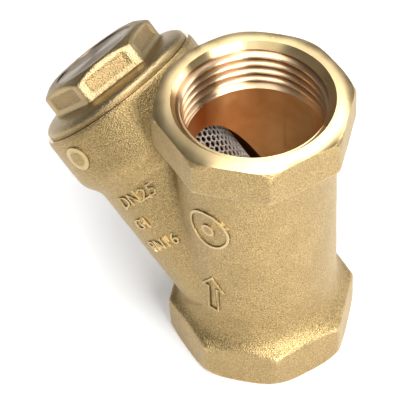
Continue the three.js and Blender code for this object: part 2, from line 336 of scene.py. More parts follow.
# %% Blasted cast brass
def blasted_brass(name, colour, shade, worn, rubbed_by=None):
    """
    Dimples about a third of a millimetre across, over slow mottling. Edges are rubbed, or else what the
    named attribute says. Tight hollows are darkened with painted shade.
    """
    finish = Finish(name, colour, 0.42)
    dimples = finish.node("ShaderNodeTexVoronoi", {"feature": "SMOOTH_F1"}, Vector=finish.place,
                          Scale=2900.0)
    dimples.inputs["Smoothness"].default_value = 0.35
    grain = finish.noise(3400.0, 3.0, 0.75)
    mottle = finish.noise(160.0, 3.0, 0.6)
    pointiness = finish.node("ShaderNodeNewGeometry").outputs["Pointiness"]
    if rubbed_by:
        attribute = finish.node("ShaderNodeAttribute", {"attribute_name": rubbed_by})
        rubbed = attribute.outputs["Fac"]
    else:
        rubbed = finish.math("MULTIPLY", finish.between(pointiness, 0.508, 0.55), 0.45)
    # Painted shade: tight hollows, where the pointiness is low, are mixed towards half the dark tone.
    painted_hollow_shade = finish.math("MULTIPLY", finish.between(pointiness, 0.496, 0.465), 0.7)
    speckled = finish.mix(finish.between(grain, 0.38, 0.62), shade, colour)
    mottled = finish.mix(finish.between(mottle, 0.35, 0.7, 0.0, 0.2), speckled, shade)
    with_hollow_shade = finish.mix(painted_hollow_shade, mottled, [c * 0.5 for c in shade])
    tone = finish.mix(rubbed, with_hollow_shade, worn)
    rough = finish.between(grain, 0.34, 0.66, 0.32, 0.56)
    smoother = finish.math("MULTIPLY", rough, finish.between(rubbed, 0.0, 1.0, 1.0, 0.62))
    relief = finish.between(rubbed, 0.0, 1.0, 0.75, 0.2)
    coarse = finish.bump(dimples.outputs["Distance"], 0.13, relief)
    fine = finish.bump(grain, 0.09, relief, coarse)
    return finish.paint(Base_Color=tone, Roughness=smoother, Normal=fine)


# %% Turned brass
def turned_brass(name, colour, shade, roughness, axis_matrix, ring_depth=0.006, root_shade=None):
    """
    Fine rings about an axis, which stretch each highlight across themselves.
    With its last argument, (crest radius, root radius, colour), a thread's roots get painted shade.
    """
    finish = Finish(name, colour, roughness)
    from_axis = finish.node("ShaderNodeVectorMath", {"operation": "SUBTRACT"})
    finish.link(from_axis, "0", finish.place)
    finish.link(from_axis, "1", axis_matrix.to_translation())
    around = finish.node("ShaderNodeVectorMath", {"operation": "CROSS_PRODUCT"})
    finish.link(around, "0", axis_matrix.to_3x3() @ Vector((0, 0, 1)))
    finish.link(around, "1", from_axis.outputs["Vector"])
    to_axis = finish.node("ShaderNodeMapping", {"vector_type": "TEXTURE"}, Vector=finish.place)
    to_axis.inputs["Location"].default_value = axis_matrix.to_translation()
    to_axis.inputs["Rotation"].default_value = axis_matrix.to_euler()
    parts = finish.node("ShaderNodeSeparateXYZ", Vector=to_axis.outputs["Vector"])
    across = finish.node("ShaderNodeCombineXYZ", X=parts.outputs["X"], Y=parts.outputs["Y"])
    radius = finish.node("ShaderNodeVectorMath", {"operation": "LENGTH"})
    finish.link(radius, "0", across.outputs["Vector"])
    along = finish.math("ADD", radius.outputs["Value"], parts.outputs["Z"])
    rings = finish.node("ShaderNodeTexNoise", {"noise_dimensions": "1D"}, W=along, Scale=9000.0, Detail=3.0)
    smear = finish.noise(260.0, 1.0, 0.5)
    tone = finish.mix(finish.between(smear, 0.2, 0.8), shade, colour)
    # Painted shade: a thread's roots are mixed towards a dark colour, more the deeper they lie.
    if root_shade:
        crest_r, root_r, dark = root_shade
        depth = finish.between(radius.outputs["Value"], crest_r * MM, root_r * MM)
        tone = finish.mix(depth, tone, dark)
    rough = finish.between(smear, 0.2, 0.8, roughness * 0.9, roughness * 1.1)
    cut_marks = finish.bump(rings.outputs["Fac"], ring_depth, 0.6)
    return finish.paint(Base_Color=tone, Roughness=rough, Normal=cut_marks, Anisotropic=0.8,
                        Anisotropic_Rotation=0.25, Tangent=around.outputs["Vector"])


# %% Make the brass finishes
CAST = blasted_brass("blasted_brass", (0.575, 0.422, 0.196), (0.25, 0.175, 0.074), (0.82, 0.65, 0.36))
CAP_CAST = blasted_brass("blasted_cap_brass", (0.43, 0.303, 0.137), (0.21, 0.142, 0.062), (0.70, 0.55, 0.31),
                         "rubbed")
CHAMBER = blasted_brass("chamber_brass", (0.74, 0.36, 0.13), (0.5, 0.2, 0.06), (0.78, 0.45, 0.2))
FACE = turned_brass("turned_face", (0.77, 0.60, 0.33), (0.70, 0.52, 0.26), 0.3, on_run, 0.0015)
BORE = turned_brass("turned_bore", (0.90, 0.57, 0.25), (0.80, 0.47, 0.18), 0.34, on_run, 0.01)
# Crest and root radii, and the colour of the painted shade in the thread's roots.
THREAD_ROOT_SHADE = (15.3, 16.5, (0.42, 0.23, 0.115))
THREAD = turned_brass("cut_thread", (0.82, 0.62, 0.40), (0.72, 0.51, 0.30), 0.3, on_run, 0.002, THREAD_ROOT_SHADE)
CAP_THREAD = turned_brass("cut_cap_thread", (0.85, 0.64, 0.36), (0.74, 0.53, 0.28), 0.22, on_branch)
CAP_TOP = turned_brass("turned_cap_top", (0.40, 0.31, 0.22), (0.27, 0.20, 0.14), 0.4, on_branch, 0.02)
brasses = (CAST, CAP_CAST, CHAMBER, FACE, BORE, THREAD, CAP_THREAD, CAP_TOP)
print("Brass finishes:", ", ".join(brass.name for brass in brasses))


# %% Pressed fibre and stainless sheet
def pressed_fibre():
    finish = Finish("pressed_fibre", (0.035, 0.022, 0.015), 0.8, 0.0)
    speckle = finish.noise(2600.0, 4.0, 0.7)
    tone = finish.mix(finish.between(speckle, 0.4, 0.65), (0.03, 0.018, 0.012), (0.075, 0.045, 0.03))
    return finish.paint(Base_Color=tone, Normal=finish.bump(speckle, 0.03, 0.7))


def punched_steel():
    """Bright stainless, with the rolling mill's streaks."""
    finish = Finish("punched_steel", (0.95, 0.95, 0.94), 0.3, 0.4)
    streaks = finish.noise(900.0, 3.0, 0.6)
    film = finish.noise(220.0, 3.0, 0.6)
    tone = finish.mix(finish.between(film, 0.35, 0.7), (0.97, 0.97, 0.96), (0.86, 0.85, 0.82))
    rough = finish.between(streaks, 0.3, 0.7, 0.24, 0.4)
    return finish.paint(Base_Color=tone, Roughness=rough, Normal=finish.bump(streaks, 0.01, 0.5))


FIBRE = pressed_fibre()
STEEL = punched_steel()
print("Other finishes:", FIBRE.name, STEEL.name)


def coat(piece, material):
    piece.data.materials.clear()
    piece.data.materials.append(material)
    return piece


# %% [markdown]
# ## The casting
# A casting has no sharp inside corners: metal flows round them. Building it from turned and prismatic
# blocks and then remeshing the whole into one skin of small quads lets a smoothing pass round every edge
# and fill every corner, as the foundry's pattern does. The ends are left long by a machining allowance,
# and the lathe faces them off later.

# %% Sizes of the casting, in millimetres
BARREL_R = 17.6
SOCKET_FLAT_R = SOCKET_CORNER_R * cos(pi / 8)
CHAMFER = 2.0  # drop of the cast corners at a face
ALLOWANCE = 0.6
INLET_STRAIGHT = 10.7
INLET_SHOULDER = 7.0
OUTLET_STRAIGHT = 9.7
OUTLET_SHOULDER = 3.0
NECK_R = 17.7
COLLAR_R = FLANGE_R + 1.06
COLLAR_FACE = GASKET_HIGH - 0.1
COLLAR_LENGTH = 11.3
COLLAR_CONE = 6.0
SKIN = 0.52  # size of the remeshed skin's quads


# %% One socket with its shoulder
def shoulder(straight, drop, steps=8):
    """A hollow quarter ellipse, level at the octagon's rim and upright where it meets the barrel."""
    spread = SOCKET_CORNER_R - BARREL_R
    turns = [pi / 2 * i / steps for i in range(steps + 1)]
    return [(SOCKET_CORNER_R - spread * sin(t), straight + drop * (1 - cos(t))) for t in turns]


def socket(name, straight, drop):
    """An octagonal socket that stands on the inlet's plane, with its machining allowance below it."""
    face_r = SOCKET_CORNER_R - 0.7 * (CHAMFER + ALLOWANCE)
    line = [(0, -ALLOWANCE), (face_r, -ALLOWANCE), (SOCKET_CORNER_R, CHAMFER)]
    line += shoulder(straight, drop) + [(0, straight + drop)]
    turned = lathe(name + "_turned", line)
    height = straight + drop + 2 * ACROSS
    deselect_all()
    bpy.ops.mesh.primitive_cylinder_add(vertices=8, radius=SOCKET_CORNER_R * MM, depth=height * MM,
                                        location=(0, 0, (straight + drop) / 2 * MM))
    piece = bpy.context.object
    piece.name = name
    place(piece, piece.matrix_world.copy())
    return combine(piece, turned, "INTERSECT")


inlet_socket = place(socket("inlet_socket", INLET_STRAIGHT, INLET_SHOULDER), on_run)
to_outlet = on_run @ Matrix.Translation((0, 0, LENGTH * MM)) @ Matrix.Rotation(pi, 4, "X")
outlet_socket = place(socket("outlet_socket", OUTLET_STRAIGHT, OUTLET_SHOULDER), to_outlet)
print(f"Sockets are {2 * SOCKET_FLAT_R:.1f} mm across the flats")

# %% Barrel and branch
barrel = lathe("barrel", [(0, INLET_STRAIGHT), (BARREL_R, INLET_STRAIGHT),
                          (BARREL_R, LENGTH - OUTLET_STRAIGHT), (0, LENGTH - OUTLET_STRAIGHT)])
place(barrel, on_run)

neck_end = COLLAR_FACE - COLLAR_LENGTH - COLLAR_CONE
branch_foot = 5
collar_bevel = 0.5
rough_face = COLLAR_FACE + ALLOWANCE
branch_line = [(0, branch_foot), (NECK_R, branch_foot)]
for t in [i / 8 for i in range(9)]:
    swell = (COLLAR_R - NECK_R) * (1 - cos(pi * t)) / 2
    branch_line.append((NECK_R + swell, neck_end + COLLAR_CONE * t))
branch_line += [(COLLAR_R, COLLAR_FACE - collar_bevel), (COLLAR_R - collar_bevel, rough_face)]
branch_line += [(0, rough_face)]
branch = place(lathe("branch", branch_line), on_branch)
print(f"The collar is {2 * COLLAR_R:.1f} mm across")

# %% One skin over all of it
body = barrel
body.name = "strainer_body"
for block in (inlet_socket, outlet_socket, branch):
    add(body, block)
apply_modifier(body, "REMESH", mode="VOXEL", voxel_size=SKIN * MM)
print(f"The skin has {len(body.data.polygons)} quads")


# %% Fill the crotches and round the edges
def crotch_weight(point):
    """1 where the barrel's and the branch's surfaces both pass close by, and 0 away from there."""
    run_place = on_run.inverted() @ point / MM
    branch_place = on_branch.inverted() @ point / MM
    to_barrel = abs(sqrt(run_place.x ** 2 + run_place.y ** 2) - BARREL_R)
    to_neck = abs(sqrt(branch_place.x ** 2 + branch_place.y ** 2) - NECK_R)
    beyond_sockets = INLET_STRAIGHT + 2 < run_place.z < LENGTH - 2
    near = max(0.0, 1 - max(to_barrel, to_neck) / 5)
    return near if beyond_sockets and branch_place.z > branch_foot else 0.0


crotch = body.vertex_groups.new(name="crotch")
for vertex in body.data.vertices:
    weight = crotch_weight(vertex.co)
    if weight > 0:
        crotch.add([vertex.index], weight, "REPLACE")
apply_modifier(body, "SMOOTH", factor=0.5, iterations=90, vertex_group="crotch")
apply_modifier(body, "SMOOTH", factor=0.5, iterations=7)
body.vertex_groups.clear()

waves = bpy.data.textures.new("casting_waves", "CLOUDS")
waves.noise_scale = 5 * MM
waves.noise_depth = 2
apply_modifier(body, "DISPLACE", texture=waves, texture_coords="LOCAL", strength=0.14 * MM, mid_level=0.5)
coat(body, CAST)
check_closed(body)

# %% [markdown]
# ## Marks cast into the side
# The pattern carries raised marks on one side: a flow arrow drawn as an outline, a round maker's-mark
# place, here filled with a plain ring and a dot, and the nominal size and pressure class on the branch.
# Each is drawn flat, laid on the skin with Shrinkwrap, given thickness and joined on, so it follows the
# curve under it.

# %% Lay a flat drawing on the casting
MARK_RELIEF = 0.32  # how far a mark stands out
MARK_ROOT = 0.8  # how far a mark reaches down into the metal
OUTSIDE = 30  # a distance from the casting's middle plane that clears its side


def lay_on_skin(mark):
    """Drops a flat mesh that faces -Y on to the casting's side, thickens it and joins it on."""
    apply_modifier(mark, "SHRINKWRAP", target=body, wrap_method="PROJECT", use_project_y=True,
                   use_positive_direction=True, use_negative_direction=False, project_limit=40 * MM)
    apply_modifier(mark, "SOLIDIFY", thickness=(MARK_RELIEF + MARK_ROOT) * MM, offset=0,
                   use_even_offset=False)
    edit(mark)
    weld()
    bpy.ops.mesh.select_all(action="SELECT")
    bpy.ops.transform.translate(value=(0, (MARK_ROOT - MARK_RELIEF) / 2 * MM, 0))
    object_mode()
    coat(mark, CAST)
    add(body, mark)


def split(mark, cuts):
    """Splits a flat drawing finely enough to bend."""
    edit(mark)
    bpy.ops.mesh.select_all(action="SELECT")
    bpy.ops.mesh.remove_doubles(threshold=0.001 * MM)
    bpy.ops.mesh.quads_convert_to_tris()
    bpy.ops.mesh.subdivide(number_cuts=cuts)
    object_mode()


# %% The flow arrow's outline
def drawn_border(name, points, width):
    """A flat border of a width inside a closed outline."""
    border = outline(name, points)
    bpy.ops.mesh.remove_doubles(threshold=0.001 * MM)
    bpy.ops.mesh.edge_face_add()
    bpy.ops.mesh.inset(thickness=width * MM)
    bpy.ops.mesh.delete(type="FACE")
    object_mode()
    return border


ARROW_FOOT = 20.6
arrow_points = [(0, 11.4), (-3.1, 7.4), (-1.5, 7.4), (-1.5, 0), (1.5, 0), (1.5, 7.4), (3.1, 7.4), (0, 11.4)]
arrow = drawn_border("arrow", arrow_points, 0.55)
split(arrow, 2)
place(arrow, Matrix.Translation((RUN_X * MM, -OUTSIDE * MM, ARROW_FOOT * MM)))
lay_on_skin(arrow)
print(f"The arrow's foot is {ARROW_FOOT} mm above the inlet")

# %% A plain ring and dot, and the round pad on the collar
def raised_disc(name, radius, disc_place):
    deselect_all()
    bpy.ops.mesh.primitive_circle_add(vertices=40, radius=radius * MM, fill_type="TRIFAN",
                                      rotation=(pi / 2, 0, 0))
    disc = bpy.context.object
    disc.name = name
    place(disc, disc_place @ disc.matrix_world)
    split(disc, 3)
    lay_on_skin(disc)


RING_HEIGHT = 48.0
RING_WIDE = 5.2
RING_TALL = 5.4
RING_POINTS = 48
DOT_R = 1.6
ring_turns = [2 * pi * i / RING_POINTS for i in range(RING_POINTS)]
ring_points = [(RING_WIDE * cos(t), RING_TALL * sin(t)) for t in ring_turns]
plain_ring = drawn_border("plain_ring", ring_points + ring_points[:1], 0.6)
split(plain_ring, 1)
ring_place = Matrix.Translation(((RUN_X - 0.2) * MM, -OUTSIDE * MM, RING_HEIGHT * MM))
place(plain_ring, ring_place)
lay_on_skin(plain_ring)
raised_disc("plain_dot", DOT_R, ring_place)

PAD_R = 3
PAD_BELOW_FACE = 5
pad_place = on_branch @ Matrix.Translation((1.2 * MM, -OUTSIDE * MM, (COLLAR_FACE - PAD_BELOW_FACE) * MM))
raised_disc("collar_pad", PAD_R, pad_place)
print("A ring, a dot and a round pad joined on")


# %% Size and class on the branch
def branch_text(words, along, turn, size):
    """Raised characters that run round the branch, at a distance along it and an angle from its -Y side."""
    deselect_all()
    bpy.ops.object.text_add()
    text = bpy.context.object
    text.data.body = words
    text.data.size = size * MM
    text.data.align_x = "CENTER"
    text.data.align_y = "CENTER"
    text.data.resolution_u = 3
    text.data.offset = 0.02 * MM
    bpy.ops.object.convert(target="MESH")
    text = bpy.context.object
    text.name = "text_" + words
    upright = Matrix.Rotation(pi / 2, 4, "X")
    across = -sin(radians(turn)) * NECK_R
    place(text, on_branch @ Matrix.Translation((across * MM, -OUTSIDE * MM, along * MM)) @ upright)
    split(text, 1)
    lay_on_skin(text)


branch_text("DN25", 34.2, -16, 4.2)
branch_text("G1", 28.0, -4, 4.0)
branch_text("PN16", 21.8, -8, 4.2)
print("Size and class joined on")

# %% [markdown]
# ## Machining
# The casting then goes to the lathe. Both ends are faced, bored, countersunk and threaded on the run's
# axis, and the branch is bored, faced and threaded on its own. Each tool here is a solid with the finish
# it leaves behind, so the Boolean's cut faces take that finish. A slanting web is left standing between
# the inlet and the screen's seat.

# %% Sizes that the tools cut, in millimetres
PIPE_PITCH = 2.309
PIPE_MAJOR_R = 16.6245
PIPE_DEPTH = 1.479
PIPE_FLANK = 27.5
BORE_R = 15.0
OUTLET_THREAD = 11.9
INLET_THREAD = 11.5
COUNTERSINK_WIDTH = 0.85
COUNTERSINK_DEPTH = 0.95
CAP_PITCH = 1.5
CAP_THREAD_DEPTH = 0.812
CAP_FLANK = 30
CAP_TAP_R = 16.51
BRANCH_BORE_R = 16.0
WEB_TOP = SCREEN_LOW + 0.7
WEB_THICKNESS = 2.2
PORT_R = SCREEN_R - 1.4
SEAT_R = SCREEN_R + 0.3
RECESS_R = GASKET_R + 0.15
RECESS_FLOOR = GASKET_LOW - 0.1

# %% Face both ends
ROLL = 0.35  # drop of the face at the octagon's flats
ROLL_POWER = 3.2
TOOL_R = 27  # radius of the tool that faces an end
TURNED_STEPS = 160


def facing_tool(name):
    """Stands under the inlet's plane. The face that it leaves rolls down more and more towards the rim."""
    mouth = PIPE_MAJOR_R + COUNTERSINK_WIDTH
    roll = []
    for t in [i / 10 for i in range(17)]:
        roll.append((mouth + (SOCKET_FLAT_R - mouth) * t, ROLL * t ** ROLL_POWER))
    line = [(0, -5), (TOOL_R, -5), (TOOL_R, 4)] + roll[::-1] + [(0, 0)]
    return coat(lathe(name, line, TURNED_STEPS), FACE)


cut(body, place(facing_tool("inlet_facing"), on_run))
cut(body, place(facing_tool("outlet_facing"), to_outlet))
print(f"Both ends faced, {LENGTH:.1f} mm apart")


# %% Bore the run, leaving the web
bore_line = [(0, -ACROSS), (BORE_R, -ACROSS), (BORE_R, LENGTH + ACROSS), (0, LENGTH + ACROSS)]
bore = lathe("bore", bore_line, TURNED_STEPS)
place(coat(bore, BORE), on_run)
deselect_all()
bpy.ops.mesh.primitive_cube_add(size=1, location=(0, 0, (WEB_TOP - WEB_THICKNESS / 2) * MM),
                                scale=(90 * MM, 60 * MM, WEB_THICKNESS * MM))
web = bpy.context.object
place(web, on_branch @ web.matrix_world)
cut(bore, coat(web, CHAMBER))
cut(body, bore)

# %% Bore the branch and its port
under_web = WEB_TOP - WEB_THICKNESS - ACROSS
seat_floor = WEB_TOP - 0.8
chamber_line = [(0, under_web), (PORT_R, under_web), (PORT_R, seat_floor), (SEAT_R, seat_floor)]
chamber_line += [(SEAT_R, WEB_TOP), (BRANCH_BORE_R, WEB_TOP)]
chamber_line += [(BRANCH_BORE_R, COLLAR_FACE + ACROSS), (0, COLLAR_FACE + ACROSS)]
chamber = place(coat(lathe("chamber", chamber_line, 144), CHAMBER), on_branch)
cut(body, chamber)
WIDE_R = 30  # radius of a tool that faces the collar or the flange
collar_top = COLLAR_FACE + 0.19
collar_line = [(0, collar_top), (WIDE_R, collar_top), (WIDE_R, collar_top + 4), (0, collar_top + 4)]
collar_facing = lathe("collar_facing", collar_line)
cut(body, place(coat(collar_facing, CAP_THREAD), on_branch))
above_collar = COLLAR_FACE + 2
recess_line = [(0, RECESS_FLOOR), (RECESS_R, RECESS_FLOOR), (RECESS_R, above_collar), (0, above_collar)]
cut(body, place(coat(lathe("recess", recess_line), CAP_THREAD), on_branch))
print(f"The web stands at {WEB_TOP:.2f} mm along the branch")


# %% Tap both pipe threads
def pipe_tap(name, length):
    """The thread's tool stands on the inlet's plane and runs out of the metal over its last turn."""
    pitch_r = PIPE_MAJOR_R - PIPE_DEPTH / 2
    tap = threaded_rod(name, -2, length, PIPE_PITCH, pitch_r, PIPE_DEPTH, PIPE_FLANK, 12, 108)
    run_out = [(0, -2), (PIPE_MAJOR_R + 1, -2), (PIPE_MAJOR_R + 1, length - PIPE_PITCH)]
    run_out += [(BORE_R - 0.2, length + 0.4), (0, length + 0.4)]
    tap = combine(tap, lathe(name + "_run_out", run_out), "INTERSECT")
    slope = COUNTERSINK_WIDTH / COUNTERSINK_DEPTH
    mouth = PIPE_MAJOR_R + COUNTERSINK_WIDTH
    deep = 2 * COUNTERSINK_DEPTH
    sink_line = [(0, -1), (mouth + slope, -1), (mouth - slope * deep, deep), (0, deep)]
    return coat(tap, THREAD), coat(lathe(name + "_countersink", sink_line, TURNED_STEPS), FACE)


for tool in pipe_tap("inlet_tap", INLET_THREAD):
    cut(body, place(tool, on_run))
for tool in pipe_tap("outlet_tap", OUTLET_THREAD):
    cut(body, place(tool, to_outlet))
print(f"Pipe threads cut, {OUTLET_THREAD} mm long at the outlet and {INLET_THREAD} mm at the inlet")

# %% Tap the branch for the cap
cap_tap = threaded_rod("cap_tap", CAP_TIP - 2, above_collar, CAP_PITCH, CAP_TAP_R, CAP_THREAD_DEPTH,
                       CAP_FLANK, 6, 72)
tapped_r = 18
tapped_foot = CAP_TIP - 0.5
cap_tap_line = [(0, tapped_foot), (BRANCH_BORE_R, tapped_foot), (tapped_r, CAP_TIP + 1)]
cap_tap_line += [(tapped_r, COLLAR_FACE + 1), (0, COLLAR_FACE + 1)]
cap_tap = combine(cap_tap, lathe("cap_tap_line", cap_tap_line), "INTERSECT")
cut(body, place(coat(cap_tap, CAP_THREAD), on_branch))
print(f"The branch is tapped with a pitch of {CAP_PITCH} mm")


# %% Finish the body's mesh
SHARP_ANGLE = 32


def finish_mesh(piece):
    """Cleans and smooths a finished mesh. Weighting by area keeps slivers from denting the shading."""
    edit(piece)
    bpy.ops.mesh.select_all(action="SELECT")
    bpy.ops.mesh.remove_doubles(threshold=0.0002 * MM)
    bpy.ops.mesh.dissolve_degenerate(threshold=0.0002 * MM)
    bpy.ops.mesh.normals_make_consistent(inside=False)
    object_mode()
    bpy.ops.object.shade_smooth_by_angle(angle=radians(SHARP_ANGLE))
    apply_modifier(piece, "WEIGHTED_NORMAL", weight=50, keep_sharp=True)
    check_closed(piece)


finish_mesh(body)
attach(body, "housing")
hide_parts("body")

# %% [markdown]
# ## The cap
# The cap is its own small casting: a hexagon with a slightly sunken panel in each flat, on a domed
# flange. It gets the same remeshed skin as the body, but finer. The thread is a second shape, joined on,
# and the hollow that takes the screen's end and the shallow round recess in the top are turned into it.
# The rubbed borders round the panels are smoother and brighter than the rest, so a mesh attribute tells
# the finish how polished each place is.

# %% Sizes of the cap, in millimetres
FLANGE_UNDER = COLLAR_FACE + 0.25
HEX_FLAT_R = 12.9
HEX_FOOT = 55.4
PANEL_BORDER = 2.1
PANEL_SINK = 0.3
PANEL_LOW = FLANGE_UNDER + 4.4
PANEL_HIGH = HEX_TOP - 1.7
CAP_HOLLOW_R = 10.5
CAP_ROOF = 6.4
DIAL_R = 10.3
DIAL_DEPTH = 0.3
CAP_SHOULDER = SCREEN_HIGH + 0.1
CAP_SKIN = 0.27


# %% The hexagon, with a panel sunk into each flat
hex_height = HEX_TOP - HEX_FOOT
deselect_all()
bpy.ops.mesh.primitive_cylinder_add(vertices=6, radius=HEX_FLAT_R / cos(pi / 6) * MM, depth=hex_height * MM,
                                    location=(0, 0, (HEX_TOP + HEX_FOOT) / 2 * MM), rotation=(0, 0, pi / 2))
cap = bpy.context.object
cap.name = "strainer_cap"
place(cap, cap.matrix_world.copy())
round_r = 15
corner_line = [(0, HEX_FOOT), (round_r, HEX_FOOT), (round_r, HEX_TOP - 1.6), (HEX_FLAT_R - 0.7, HEX_TOP)]
corner_line += [(0, HEX_TOP)]
combine(cap, lathe("hex_corner", corner_line), "INTERSECT")
flat_width = 2 * HEX_FLAT_R * tan(pi / 6)
panel_width = flat_width - 2 * PANEL_BORDER
panel_height = PANEL_HIGH - PANEL_LOW
panel_middle = (PANEL_LOW + PANEL_HIGH) / 2
for i in range(6):
    angle = pi / 6 + i * pi / 3
    deselect_all()
    bpy.ops.mesh.primitive_cube_add(size=1, location=(HEX_FLAT_R * MM, 0, panel_middle * MM),
                                    scale=(2 * PANEL_SINK * MM, panel_width * MM, panel_height * MM))
    panel = bpy.context.object
    place(panel, Matrix.Rotation(angle, 4, "Z") @ panel.matrix_world)
    cut(cap, panel)
print(f"Each flat is {flat_width:.1f} mm wide, with a panel {panel_width:.1f} mm wide")

# %% The domed flange and one skin over both
DOME_FOOT = FLANGE_UNDER + 0.9
DOME_TOP_R = 14.2
rough_under = FLANGE_UNDER - ALLOWANCE
flange_line = [(0, rough_under), (FLANGE_R, rough_under), (FLANGE_R, DOME_FOOT)]
dome_rise = 2.0
dome_run = FLANGE_R - DOME_TOP_R
flange_line += [(FLANGE_R - dome_run * (1 - cos(t)), DOME_FOOT + dome_rise * sin(t))
                for t in (radians(a) for a in range(10, 91, 10))]
flange_line += [(0, DOME_FOOT + dome_rise)]
add(cap, lathe("flange", flange_line, TURNED_STEPS))
apply_modifier(cap, "REMESH", mode="VOXEL", voxel_size=CAP_SKIN * MM)
apply_modifier(cap, "SMOOTH", factor=0.5, iterations=14)
cap_waves = bpy.data.textures.new("cap_waves", "CLOUDS")
cap_waves.noise_scale = 3 * MM
cap_waves.noise_depth = 2
apply_modifier(cap, "DISPLACE", texture=cap_waves, texture_coords="LOCAL", strength=0.1 * MM, mid_level=0.5)
coat(cap, CAP_CAST)
print(f"The cap's skin has {len(cap.data.polygons)} quads")

# %% Thread, hollow and recess
facing_line = [(0, FLANGE_UNDER - 3), (WIDE_R, FLANGE_UNDER - 3), (WIDE_R, FLANGE_UNDER), (0, FLANGE_UNDER)]
cut(cap, coat(lathe("flange_facing", facing_line), CAP_THREAD))
rod_r = CAP_TAP_R - 0.2
rod = threaded_rod("cap_thread", CAP_TIP - 2, FLANGE_UNDER, CAP_PITCH, rod_r, CAP_THREAD_DEPTH,
                   CAP_FLANK, 8, 96)
undercut_r = rod_r - CAP_THREAD_DEPTH / 2 - 0.1
undercut = FLANGE_UNDER - 1.2
over_r = undercut_r + 1
rod_line = [(0, CAP_TIP), (undercut_r, CAP_TIP), (over_r, CAP_TIP + 1), (over_r, undercut - 0.8)]
rod_line += [(undercut_r, undercut), (undercut_r, FLANGE_UNDER + 1), (0, FLANGE_UNDER + 1)]
rod = combine(rod, lathe("rod_line", rod_line, 96), "INTERSECT")
coat(rod, CAP_THREAD)
add(cap, rod)
hollow_top = HEX_TOP - CAP_ROOF
hollow_line = [(0, CAP_TIP - 1), (SEAT_R, CAP_TIP - 1), (SEAT_R, CAP_SHOULDER), (CAP_HOLLOW_R, CAP_SHOULDER)]
hollow_line += [(CAP_HOLLOW_R, hollow_top - 1), (CAP_HOLLOW_R - 1, hollow_top), (0, hollow_top)]
cut(cap, coat(lathe("cap_hollow", hollow_line), CAP_THREAD))
dial_floor = HEX_TOP - DIAL_DEPTH
dial_line = [(0, dial_floor), (DIAL_R, dial_floor), (DIAL_R + 0.2, HEX_TOP + 1), (0, HEX_TOP + 1)]
cut(cap, coat(lathe("dial", dial_line, TURNED_STEPS), CAP_TOP))
print(f"The dial is {2 * DIAL_R:.1f} mm across, and the hollow ends {CAP_ROOF} mm under the top")


# %% Say where the cap is rubbed
def rise(value, low, high):
    return min(1.0, max(0.0, (value - low) / (high - low)))


def rubbed_at(point):
    """Most on a flat's border and on the dome, and least on a sunk panel. The cap is still upright here."""
    x, y, z = point / MM
    if z < FLANGE_UNDER + 3:
        return 0.45 * rise(z, FLANGE_UNDER + 0.4, FLANGE_UNDER + 1.2)
    angle = atan2(y, x)
    from_flat = (angle % (pi / 3)) - pi / 6
    out = sqrt(x * x + y * y)
    if out * cos(from_flat) < HEX_FLAT_R - 1.2:
        return 0.25
    aside = abs(out * sin(from_flat)) - (flat_width / 2 - PANEL_BORDER)
    above = max(PANEL_LOW - z, z - PANEL_HIGH)
    return 0.1 + 0.3 * rise(max(aside, above), -0.1, 0.35)


rubbed = cap.data.attributes.new("rubbed", "FLOAT", "POINT")
rubbed.data.foreach_set("value", [rubbed_at(vertex.co) for vertex in cap.data.vertices])
place(cap, on_branch)
finish_mesh(cap)
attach(cap, "cap")
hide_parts("cap")

# %% [markdown]
# ## The gasket
# A flat ring of pressed fibre, squeezed between the collar and the flange. Only its edge shows, as the
# thin dark seam round the cap, until the cap is screwed out.

# %% Turn the gasket
GASKET_INNER_R = CAP_TAP_R + CAP_THREAD_DEPTH / 2 + 0.2
GASKET_BEVEL = 0.1
gasket_line = [(GASKET_INNER_R, GASKET_LOW + GASKET_BEVEL), (GASKET_INNER_R + GASKET_BEVEL, GASKET_LOW)]
gasket_line += [(GASKET_R - GASKET_BEVEL, GASKET_LOW), (GASKET_R, GASKET_LOW + GASKET_BEVEL)]
gasket_line += [(GASKET_R, GASKET_HIGH - GASKET_BEVEL), (GASKET_R - GASKET_BEVEL, GASKET_HIGH)]
gasket_line += [(GASKET_INNER_R + GASKET_BEVEL, GASKET_HIGH), (GASKET_INNER_R, GASKET_HIGH - GASKET_BEVEL)]
gasket = lathe("gasket", gasket_line + gasket_line[:1], TURNED_STEPS)
place(coat(gasket, FIBRE), on_branch)
finish_mesh(gasket)
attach(gasket, "carrier")
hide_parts("cap_gasket")

# %% [markdown]
# ## The screen
# The screen starts as flat stainless sheet, punched all over with round holes in staggered rows, then
# rolled into a sleeve and closed. It is made in that order here: one cell of the pattern holds a hole,
# arrays repeat it into a flat sheet without thickness, each of its points is carried round the sleeve,
# and Solidify then gives it the sheet's thickness.

# %% Sizes of the screen, in millimetres
HOLE_PITCH = 1.5
HOLE_R = 0.65
SHEET = 0.3
BAND_STEPS = 3  # quarters of a pitch left unpunched at each end
sleeve_r = SCREEN_R - 0.2
column_pairs = round(2 * pi * sleeve_r / (HOLE_PITCH * sqrt(3)))
column_width = 2 * pi * sleeve_r / column_pairs / 2
screen_length = SCREEN_HIGH - SCREEN_LOW
rows = int((screen_length / HOLE_PITCH * 4 - 2 * BAND_STEPS - 2) / 4)
quarter = screen_length / (4 * rows + 2 * BAND_STEPS + 2)
print(f"The screen has {2 * column_pairs} columns of {rows} holes")


# %% Punch one cell, then repeat it into a column
def punched_cell():
    """A piece of sheet with one hole. Rim and hole have twelve points each, so they bridge evenly."""
    half = column_width / 2
    rim = [(half, step * quarter) for step in range(-2, 3)] + [(0, 2 * quarter)]
    rim += [(-half, -step * quarter) for step in range(-2, 3)] + [(0, -2 * quarter)]
    cell = outline("cell", rim + rim[:1])
    bpy.ops.mesh.remove_doubles(threshold=0.001 * MM)
    bpy.ops.mesh.primitive_circle_add(vertices=12, radius=HOLE_R * MM, rotation=(pi / 2, 0, 0))
    bpy.ops.mesh.select_all(action="SELECT")
    bpy.ops.mesh.bridge_edge_loops()
    object_mode()
    return cell


